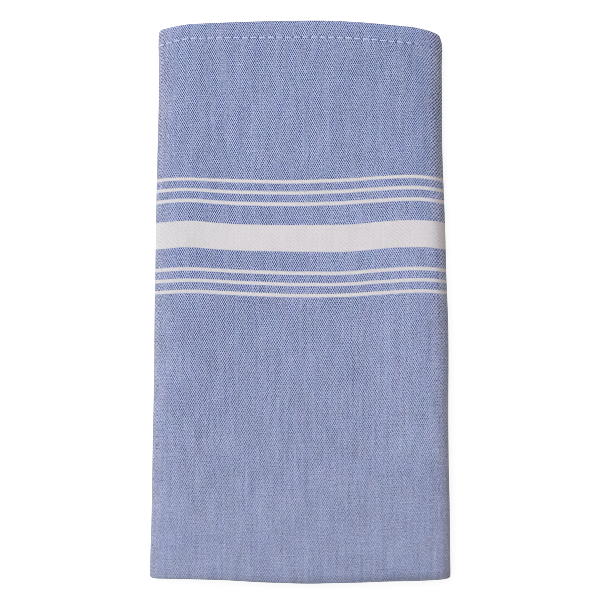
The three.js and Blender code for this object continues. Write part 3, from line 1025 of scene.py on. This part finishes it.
def cotton_twill(tree):
    """What goes into the surface of the cloth."""
    place = flat_place(tree)
    thread = drifting_threads(tree, place)
    across = add(tree, "ShaderNodeSeparateXYZ", thread)
    from_hem = distance_from_hem(tree, across.node.outputs[1])
    past_left = add(tree, "ShaderNodeMath", across, FRONT_STARTS + FULL_PANEL, operation="SUBTRACT")
    from_wrap = add(tree, "ShaderNodeMath", across, FRONT_STARTS, operation="SUBTRACT")
    wear = add(tree, "ShaderNodeSeparateColor", look_up(tree, from_hem, WEAR))
    # Rubbing by the folds, with painted sheen there
    rub_and_sheen = rubbed_and_sheened_folds(tree, past_left, from_wrap, wear.node.outputs[1])
    kept = add(tree, "ShaderNodeMath", rub_and_sheen, -LOST_BY_RUB_AND_SHEEN, 1.0, operation="MULTIPLY_ADD")
    weave = slanting_dots(tree, thread, from_wrap, from_hem)
    weave = add(tree, "ShaderNodeMath", weave, kept, operation="MULTIPLY")

    yarn = made_uneven(tree, 0.0, place, YARNS)
    dots = made_uneven(tree, 0.0, place, DOTS)
    show = white_that_shows(tree, weave, yarn, dots, wear.node.outputs[2])
    # The weft fades towards the folded end, and by the folds it is paled as painted sheen too
    fade_and_sheen = add(tree, "ShaderNodeMath", wear, rub_and_sheen, operation="MAXIMUM")
    ground = blue_ground(tree, place, show, fade_and_sheen)
    # Painted light by the left fold, and painted shade on the wrap, at the hem's very edge and on the folded
    # end's rim
    ground = with_painted_light_and_shade(tree, ground, (past_left, PAINTED_LIGHT_BY_FOLD), (from_wrap, PAINTED_SHADE_ON_WRAP), (from_hem, PAINTED_SHADE_HEM_TO_FOLD))
    clearness = made_uneven(tree, 0.8, place, TWILL_CLEARNESS)
    twill = add(tree, "ShaderNodeMath", wave(tree, thread, WHITE_TWILL), clearness, operation="MULTIPLY")
    white = white_stripe(tree, twill, yarn, dots)
    # Painted shade on the white stripes towards the left fold and round the wrap
    white = with_painted_light_and_shade(tree, white, (past_left, WHITE_PAINTED_SHADE_BY_FOLD), (from_wrap, WHITE_PAINTED_SHADE_ON_WRAP))

    edge = add(tree, "ShaderNodeMath", weave, EDGE_WANDER, from_hem, operation="MULTIPLY_ADD")
    in_stripe = look_up(tree, edge, stripe_rows())
    striped = add(tree, "ShaderNodeMix", also={0: in_stripe, 6: ground, 7: white}, **COLOURS)
    # Each needle hole is painted dark blue, as the shade inside it
    hole_shade, pull = needle_marks(tree)
    sewn = add(tree, "ShaderNodeMix", also={0: hole_shade, 6: striped, 7: linear(HOLE_SHADE_BLUE)}, **COLOURS)
    return {
        "Base Color": sewn,
        "Roughness": 0.9,
        "Specular IOR Level": 0.2,
        "Sheen Weight": 0.12,
        "Sheen Roughness": 0.5,
        "Normal": raised(tree, weave, twill, in_stripe, pull),
    }


cloth.data.materials.append(new_material("woven cotton twill", cotton_twill))
print("The cotton has", len(cloth.data.materials[0].node_tree.nodes), "nodes")

# %% [markdown]
# ## The sewing thread
# Hems like these are sewn with spun polyester thread, a little lighter than the cloth, matt and slightly
# hairy. Its twist is too fine to see from here, so it is drawn about twice as coarse, as slanting ridges in
# the bump, with painted shade that darkens the colour in the hollows between them.

# %% Spin the thread
THREAD_COLOUR = "cfd5ee"
THREAD_SHADE = "aab3d8"
TWIST_PITCH = 0.8
TWIST_RELIEF = 0.05


def spun_thread(tree):
    """What goes into the surface of the thread."""
    where = add(tree, "ShaderNodeTexCoord", out=3)
    turns = math.tau / (TWIST_PITCH * MM)
    angle = add(tree, "ShaderNodeVectorMath", where, (turns, turns, 0), operation="DOT_PRODUCT", out=1)
    twist = add(tree, "ShaderNodeMath", angle, operation="COSINE")
    shade = add(tree, "ShaderNodeMapRange", twist, -1.0, 1.0, 0.0, 1.0)
    twist_shading = {0: shade, 6: linear(THREAD_SHADE), 7: linear(THREAD_COLOUR)}
    colour = add(tree, "ShaderNodeMix", also=twist_shading, **COLOURS)
    bump = add(tree, "ShaderNodeBump", also={"Distance": TWIST_RELIEF * MM, "Height": twist})
    return {"Base Color": colour, "Roughness": 0.75, "Sheen Weight": 0.1, "Normal": bump}


thread_material = new_material("spun polyester thread", spun_thread)
print("The thread's twist comes every", TWIST_PITCH, "mm")

# %% [markdown]
# ## The lines of sewing
# A lockstitch shows as a row of short dashes that dive into the cloth at both ends. Each line of sewing is
# a line of the cloth's own points. Every point keeps the direction that the cloth faces, and how long a
# stitch can be there, because a straight stitch has little room round a sharp fold. Beside the wrap the
# thread is pulled deep into the cloth, and it is pressed in where the cloth lies on the floor.

# %% Lay out the lines of sewing
STITCH_LENGTH = 3.3
PRESSED_IN = 0.4
# How deep the thread is pulled into the cloth beside the wrap
PULLED_DEEP = {"from_the_wrap": (-8, -2, 6, 13), "depth": (0, 0.3, 0.26, 0)}


def outward_directions():
    """The direction that the outer skin faces at every point of its grid."""
    by_station = np.gradient(outer_skin, axis=0)
    by_row = np.gradient(outer_skin, axis=1)
    facing = np.cross(by_station, by_row)
    return facing / np.linalg.norm(facing, axis=-1, keepdims=True)


def room_for_stitch(line):
    """The share of a stitch's length that fits at each point of a line: all on a panel, less round a fold."""
    passed = length_along(line)
    near = np.stack([np.interp(passed - STITCH_LENGTH / 2, passed, way) for way in line.T])
    far = np.stack([np.interp(passed + STITCH_LENGTH / 2, passed, way) for way in line.T])
    return (np.linalg.norm(far - near, axis=0) / STITCH_LENGTH) ** 2


def sewing_lines():
    """A mesh of four lines. Each point keeps the way that the cloth faces and the room for a stitch."""
    facing = outward_directions()
    first, last = seam_stations
    top, bottom = seam_rows
    facings = [facing[first:last + 1, row] for row in seam_rows]
    facings += [facing[station, top:bottom + 1] for station in seam_stations]
    from_wrap = along[first:last + 1] - FRONT_STARTS
    depth = np.interp(from_wrap, PULLED_DEEP["from_the_wrap"], PULLED_DEEP["depth"])
    pulled = [line - facings[k] * depth[:, None] for k, line in enumerate(seam_lines[:2])]
    points = np.concatenate([*pulled, *seam_lines[2:]])
    points[:, 2] = np.maximum(points[:, 2], PRESSED_IN)
    edges = []
    passed = 0
    for line in seam_lines:
        edges += [(passed + k, passed + k + 1) for k in range(len(line) - 1)]
        passed += len(line)
    mesh = bpy.data.meshes.new("hem stitches")
    mesh.from_pydata([tuple(p) for p in points * MM], edges, [])
    keep_on_points(mesh, "outward", "FLOAT_VECTOR", np.concatenate(facings))
    keep_on_points(mesh, "room", "FLOAT", np.concatenate([room_for_stitch(line) for line in seam_lines]))
    return put_in_scene("hem_stitches", mesh)


lines_of_sewing = sewing_lines()
print("The sewing is", round(sum(length_along(line)[-1] for line in seam_lines)), "mm long in all")

# %% [markdown]
# ## Geometry Nodes that sew
# The tree makes one stitch, a low arch of thread, and spreads copies of it evenly on every line. It turns
# each copy to follow the line and to lie on the cloth, and varies it a little. A loop could place each
# stitch as a mesh, but with the tree its sizes stay named inputs.

# %% Build the sewing tree
SEWING_INPUTS = {
    "Geometry": "Geometry",
    "Stitches": "Int",
    "Length": "Float",
    "Width": "Float",
    "Rise": "Float",
    "Sink": "Float",
    "Seed": "Int",
    "Thread": "Material",
}
ARCH_STEPS = 7
THREAD_SIDES = 7

# The smallest and the largest copy of a stitch, along it, across it and in height
COPY_SIZES = ((0.93, 0.85, 0.8), (1.06, 1.12, 1.15))


def stitch_tree():
    tree = bpy.data.node_groups.new("sewing", "GeometryNodeTree")
    for name, kind in SEWING_INPUTS.items():
        tree.interface.new_socket(name, in_out="INPUT", socket_type="NodeSocket" + kind)
    tree.interface.new_socket("Geometry", in_out="OUTPUT", socket_type="NodeSocketGeometry")
    given = tree.nodes.new("NodeGroupInput").outputs

    # One stitch: a round thread along a low arch
    half = add(tree, "ShaderNodeMath", given["Length"], 0.5, operation="MULTIPLY")
    minus_half = add(tree, "ShaderNodeMath", half, -1.0, operation="MULTIPLY")
    down = add(tree, "ShaderNodeMath", given["Sink"], -1.0, operation="MULTIPLY")
    start = add(tree, "ShaderNodeCombineXYZ", minus_half, 0.0, down)
    top = add(tree, "ShaderNodeCombineXYZ", 0.0, 0.0, given["Rise"])
    end = add(tree, "ShaderNodeCombineXYZ", half, 0.0, down)
    arch = add(tree, "GeometryNodeCurveQuadraticBezier", ARCH_STEPS, start, top, end)
    radius = add(tree, "ShaderNodeMath", given["Width"], 0.5, operation="MULTIPLY")
    circle = {"Resolution": THREAD_SIDES, "Radius": radius}
    section = add(tree, "GeometryNodeCurvePrimitiveCircle", also=circle)
    stitch = add(tree, "GeometryNodeCurveToMesh", arch, section, also={"Fill Caps": True})
    stitch = add(tree, "GeometryNodeSetShadeSmooth", stitch)

    # Its places on the lines, and how each copy is turned and sized
    line = add(tree, "GeometryNodeMeshToCurve", given["Geometry"])
    spread = add(tree, "GeometryNodeResampleCurve", also={"Curve": line, "Count": given["Stitches"]})
    follow = add(tree, "GeometryNodeInputTangent")
    outward = add(tree, "GeometryNodeInputNamedAttribute", "outward", data_type="FLOAT_VECTOR")
    turn = add(tree, "FunctionNodeAxesToRotation", outward, follow, primary_axis="Z", secondary_axis="X")
    seed = {"Seed": given["Seed"]}
    size = add(tree, "FunctionNodeRandomValue", *COPY_SIZES, also=seed, data_type="FLOAT_VECTOR")
    room = add(tree, "GeometryNodeInputNamedAttribute", "room", data_type="FLOAT")
    fitted = add(tree, "ShaderNodeCombineXYZ", room, 1.0, 1.0)
    size = add(tree, "ShaderNodeVectorMath", size, fitted, operation="MULTIPLY")

    copies = {"Points": spread, "Instance": stitch, "Rotation": turn, "Scale": size}
    sewn = add(tree, "GeometryNodeInstanceOnPoints", also=copies)
    real = add(tree, "GeometryNodeRealizeInstances", sewn)
    painted = add(tree, "GeometryNodeSetMaterial", real, also={"Material": given["Thread"]})
    add(tree, "NodeGroupOutput", painted)
    return tree


sewing_tree = stitch_tree()
print("The sewing tree has", len(sewing_tree.nodes), "nodes")

# %% [markdown]
# ## The stitches
# The tree runs as a modifier on the lines of sewing. Each input is set by its own identifier, before the
# object is first worked out. The result is kept as a plain mesh, and the modifier comes off.

# %% Sew the hems
THREAD_WIDTH = 0.72
THREAD_RISE = 0.34
THREAD_SINK = 0.42


def sew(lines, tree):
    modifier = lines.modifiers.new("sewing", "NODES")
    modifier.node_group = tree
    values = {
        "Stitches": STITCH_COUNT + 1,
        "Length": STITCH_LENGTH * MM,
        "Width": THREAD_WIDTH * MM,
        "Rise": THREAD_RISE * MM,
        "Sink": THREAD_SINK * MM,
        "Seed": 7,
        "Thread": thread_material,
    }
    for item in tree.interface.items_tree:
        if item.in_out == "INPUT" and item.name in values:
            modifier[item.identifier] = values[item.name]
    depsgraph = bpy.context.evaluated_depsgraph_get()
    sewn = bpy.data.meshes.new_from_object(lines.evaluated_get(depsgraph), depsgraph=depsgraph)
    lines.modifiers.clear()
    lines.data = sewn
    sewn.name = "hem_stitches"
    return lines


stitches = sew(lines_of_sewing, sewing_tree)
print("The stitches have", len(stitches.data.polygons), "faces")

# %% [markdown]
# ## The floor and the light
# The napkin lies on a plain pale floor that glows a little, like a light table, so the shadow under the
# cloth stays faint. The floor is set a hair lower than the cloth, because the sewing reaches that far down.
# A large soft light stands up on the left, so that the wrap on the right falls into shade, and the sky
# fills the rest. The picture keeps its colours as they are, so that the white floor comes out white.

# %% Light the napkin
# Sizes and places in metres
FLOOR_SIZE = 4.0
FLOOR_DROP = 0.0002
FLOOR_COLOUR = "7a7a7a"
FLOOR_GLOW = 0.84
KEY_PLACE = (-0.6, 0.45, 1.1)
KEY_SIZE = 1.2
KEY_POWER = 13.6
SKY_DIM = 0.12
SKY_BRIGHT = 0.8

# The sky brightens from here, as the cosine of the angle to the key light
SKY_STARTS = -0.6


def pale_floor(tree):
    """What goes into the surface of the floor, which needs no pattern."""
    glow = {"Emission Color": linear("ffffff"), "Emission Strength": FLOOR_GLOW}
    return {"Base Color": linear(FLOOR_COLOUR), "Roughness": 0.9, **glow}


def make_floor():
    half = FLOOR_SIZE / 2
    corners = [(-half, -half), (half, -half), (half, half), (-half, half)]
    floor = make_mesh("floor", [(x, y, -FLOOR_DROP) for x, y in corners], [(0, 1, 2, 3)])
    floor.data.materials.append(new_material("pale floor", pale_floor))
    return floor


def make_light(name, place, size, power):
    data = bpy.data.lights.new(name, "AREA")
    data.size = size
    data.energy = power
    light = put_in_scene(name, data)
    light.location = place
    towards = -light.location
    light.rotation_mode = "QUATERNION"
    light.rotation_quaternion = towards.to_track_quat("-Z", "Y")
    return light


def studio_sky():
    """A sky that is brightest on the side of the key light and dim on the other side."""
    sky = bpy.data.worlds.new("studio sky")
    sky.use_nodes = True
    tree = sky.node_tree
    tree.nodes.clear()
    towards = Vector(KEY_PLACE).normalized()
    look = add(tree, "ShaderNodeTexCoord", out=0)
    side = add(tree, "ShaderNodeVectorMath", look, tuple(towards), operation="DOT_PRODUCT", out=1)
    strength = add(tree, "ShaderNodeMapRange", side, SKY_STARTS, 1.0, SKY_DIM, SKY_BRIGHT)
    shade = add(tree, "ShaderNodeBackground", (1, 1, 1, 1), strength)
    add(tree, "ShaderNodeOutputWorld", shade)
    return sky


floor = make_floor()
make_light("key light", KEY_PLACE, KEY_SIZE, KEY_POWER)
bpy.context.scene.world = studio_sky()
bpy.context.scene.view_settings.view_transform = "Standard"
print("The key light stands", round(Vector(KEY_PLACE).length, 2), "m away")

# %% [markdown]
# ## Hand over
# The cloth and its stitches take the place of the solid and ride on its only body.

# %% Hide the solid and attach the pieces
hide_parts("napkin")
for piece in (cloth, stitches):
    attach(piece, "root")
